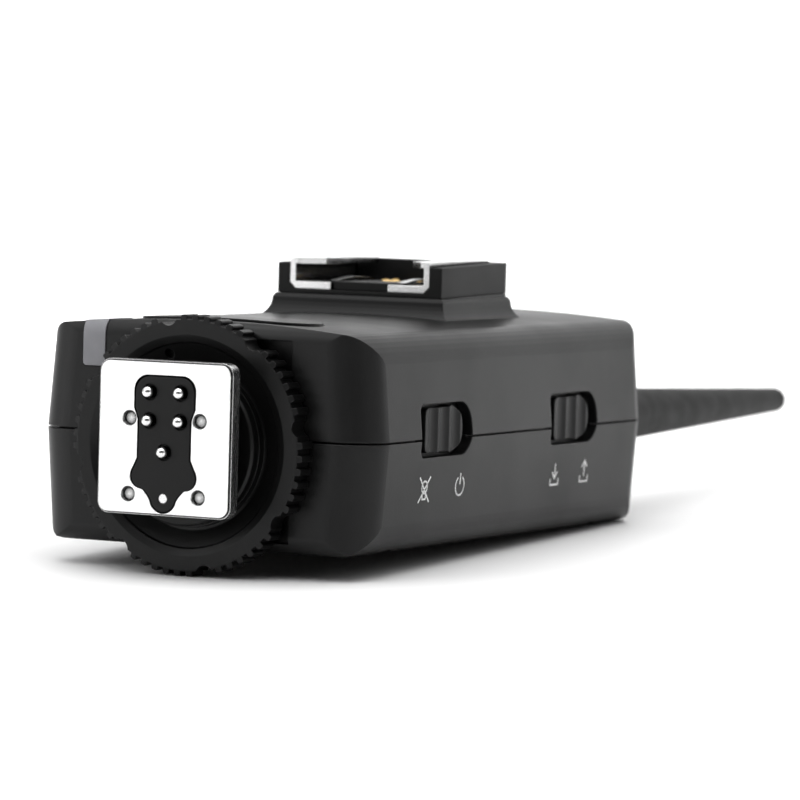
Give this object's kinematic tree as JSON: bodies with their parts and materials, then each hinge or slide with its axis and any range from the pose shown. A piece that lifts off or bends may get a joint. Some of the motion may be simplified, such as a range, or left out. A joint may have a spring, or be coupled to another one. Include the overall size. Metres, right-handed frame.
{
  "type": "wireless flash trigger",
  "caption": "Radio flash trigger with a clamping camera foot and knurled lock ring, a hot shoe on top, slide switches on the side and a stub antenna.",
  "frame": {"origin": "centre of the foot plate's outer face, which is also the height of the casing's parting plane", "axes": "+Y along the casing from the foot to the antenna, +Z towards the hot shoe, +X towards the two slide switches"},
  "size_m": [0.0478, 0.1598, 0.0384],
  "materials": {
    "casing": "satin black moulded plastic with a fine grain",
    "dark_steel": "black-oxide steel",
    "light_guide": "translucent smoke grey",
    "lamp": "clear lens",
    "button": "satin black",
    "inner_black": "matt black",
    "shoe_black": "satin black",
    "shoe_chrome": "bright nickel plate",
    "spring_steel": "plated spring steel",
    "contact_gold": "gold-plated",
    "flat_cable": "amber film",
    "foot_metal": "satin nickel plate, fine brushing",
    "insert_black": "satin black",
    "pin_metal": "polished plated",
    "ring_black": "satin black, moulded",
    "knob_black": "satin black",
    "switch_metal": "tin plate",
    "board_green": "solder mask",
    "shield_tin": "tin plate",
    "cell_wrap": "plain printed sleeve",
    "antenna_rubber": "soft matt rubber",
    "collar_black": "satin black",
    "cable_black": "matt black"
  },
  "bodies": {
    "casing": {"upper_casing": "casing", "lower_casing": "casing", "casing_screws": "dark_steel", "status_window": "light_guide", "status_led": "lamp", "test_switch": "inner_black", "hot_shoe_frame": "shoe_black", "hot_shoe_rails": "shoe_chrome", "hot_shoe_spring": "spring_steel", "hot_shoe_contact_block": "shoe_black", "hot_shoe_contacts": "contact_gold", "hot_shoe_screws": "spring_steel", "hot_shoe_ribbon": "flat_cable", "foot_plate": "foot_metal", "foot_insert": "insert_black", "foot_rivets": "pin_metal", "foot_stem": "inner_black", "pin_springs": "spring_steel", "foot_ribbon": "flat_cable", "power_switch": "switch_metal", "mode_switch": "switch_metal", "main_board": "board_green", "radio_module": "shield_tin", "board_chips": "inner_black", "battery_cells": "cell_wrap", "battery_springs": "spring_steel", "battery_plates": "spring_steel", "sync_jack": "inner_black", "antenna_sleeve": "antenna_rubber", "antenna_core": "contact_gold", "antenna_collar": "collar_black", "antenna_cable": "cable_black"},
    "clamp": {"clamp_plate": "ring_black"},
    "ring": {"lock_ring": "ring_black"},
    "locking_pin": {"lock_pin": "pin_metal"},
    "sync_contact": {"sync_pin": "pin_metal"},
    "data_contact_1": {"data_pin_1": "pin_metal"},
    "data_contact_2": {"data_pin_2": "pin_metal"},
    "data_contact_3": {"data_pin_3": "pin_metal"},
    "data_contact_4": {"data_pin_4": "pin_metal"},
    "power_slider": {"power_knob": "knob_black"},
    "mode_slider": {"mode_knob": "knob_black"},
    "button": {"test_button": "button", "test_plunger": "inner_black"},
    "door": {"battery_door": "casing"}
  },
  "joints": [
    {"name": "clamp_slide", "type": "slide", "parent": "casing", "child": "clamp", "axis": [0, -1, 0], "range_m": [0, 0.00194]},
    {"name": "ring_turn", "type": "hinge", "parent": "clamp", "child": "ring", "pos_m": [0, 0.0055, -0.0011], "axis": [0, -1, 0], "range_deg": [0, 700]},
    {"name": "lock_pin_slide", "type": "slide", "parent": "casing", "child": "locking_pin", "axis": [0, -1, 0], "range_m": [0, 0.0012]},
    {"name": "sync_pin_press", "type": "slide", "parent": "casing", "child": "sync_contact", "axis": [0, 1, 0], "range_m": [0, 0.0007], "stiffness_N_per_m": 200, "deforming": ["pin_springs"]},
    {"name": "data_pin_1_press", "type": "slide", "parent": "casing", "child": "data_contact_1", "axis": [0, 1, 0], "range_m": [0, 0.0007], "stiffness_N_per_m": 200},
    {"name": "data_pin_2_press", "type": "slide", "parent": "casing", "child": "data_contact_2", "axis": [0, 1, 0], "range_m": [0, 0.0007], "stiffness_N_per_m": 200},
    {"name": "data_pin_3_press", "type": "slide", "parent": "casing", "child": "data_contact_3", "axis": [0, 1, 0], "range_m": [0, 0.0007], "stiffness_N_per_m": 200},
    {"name": "data_pin_4_press", "type": "slide", "parent": "casing", "child": "data_contact_4", "axis": [0, 1, 0], "range_m": [0, 0.0007], "stiffness_N_per_m": 200},
    {"name": "power_slide", "type": "slide", "parent": "casing", "child": "power_slider", "axis": [0, 1, 0], "range_m": [0, 0.002]},
    {"name": "mode_slide", "type": "slide", "parent": "casing", "child": "mode_slider", "axis": [0, 1, 0], "range_m": [0, 0.002]},
    {"name": "test_press", "type": "slide", "parent": "casing", "child": "button", "axis": [0, 0, -1], "range_m": [0, 0.0006], "stiffness_N_per_m": 300},
    {"name": "door_slide", "type": "slide", "parent": "casing", "child": "door", "axis": [0, 1, 0], "range_m": [0, 0.06]}
  ],
  "couplings": [
    {"joint": "ring_turn", "follows": "clamp_slide", "rad_per_m": 6283.2},
    {"joint": "lock_pin_slide", "follows": "clamp_slide", "ratio": 0.56549}
  ]
}
